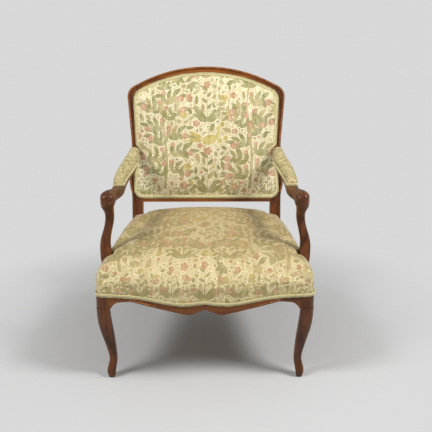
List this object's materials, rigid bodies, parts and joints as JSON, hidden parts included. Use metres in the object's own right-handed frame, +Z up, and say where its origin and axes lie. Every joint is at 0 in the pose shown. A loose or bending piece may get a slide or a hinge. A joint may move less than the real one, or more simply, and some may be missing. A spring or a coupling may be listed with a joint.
{
  "type": "fauteuil",
  "caption": "Upholstered open armchair with a serpentine front rail, cabriole legs, scrolled arms with pads, and a leaning arched back in a wooden frame.",
  "frame": {"origin": "on the floor, under the middle of the chair's bounding box", "axes": "+X to the right as seen from the front, +Y towards the back, +Z up"},
  "size_m": [0.7098, 0.7432, 0.9592],
  "materials": {
    "show_wood": "waxed walnut, mellow sheen, worn on the edges",
    "block_wood": "plain sawn wood, unfinished",
    "screw_steel": "dull steel",
    "tack_iron": "blued iron",
    "jute_webbing": "herringbone jute webbing",
    "hessian": "open plain weave hessian",
    "horsehair": "curled horsehair",
    "figured_cover": "figured woven cover, satin cream ground with green and rose plants",
    "plain_cover": "mottled gold and green weave",
    "braid": "woven braid with a scalloped edge"
  },
  "bodies": {
    "root": {"front_leg_left": "show_wood", "front_leg_right": "show_wood", "back_post_left": "show_wood", "back_post_right": "show_wood", "crest_rail": "show_wood", "lower_back_rail": "show_wood", "front_seat_rail": "show_wood", "side_seat_rail_left": "show_wood", "side_seat_rail_right": "show_wood", "back_seat_rail": "show_wood", "arm_left": "show_wood", "arm_right": "show_wood", "arm_support_left": "show_wood", "arm_support_right": "show_wood", "front_corner_block_left": "block_wood", "front_corner_block_right": "block_wood", "rear_corner_block_left": "block_wood", "rear_corner_block_right": "block_wood", "joint_pegs": "block_wood", "arm_dowels": "block_wood", "corner_block_screws": "screw_steel", "arm_support_screws": "screw_steel", "seat_webbing_tacks": "tack_iron", "back_webbing_tacks": "tack_iron", "seat_webbing_lengthwise": "jute_webbing", "seat_webbing_crosswise": "jute_webbing", "back_webbing_upright": "jute_webbing", "back_webbing_crosswise": "jute_webbing", "seat_hessian": "hessian", "back_hessian": "hessian", "seat_stuffing": "horsehair", "back_stuffing": "horsehair", "arm_pad_stuffing_left": "horsehair", "arm_pad_stuffing_right": "horsehair", "seat_cover": "figured_cover", "back_cover": "figured_cover", "arm_pad_cover_left": "plain_cover", "arm_pad_cover_right": "plain_cover", "outer_back_cover": "plain_cover", "seat_gimp": "braid", "back_gimp": "braid", "outer_back_gimp": "braid", "arm_pad_gimp_left": "braid", "arm_pad_gimp_right": "braid"}
  },
  "joints": []
}
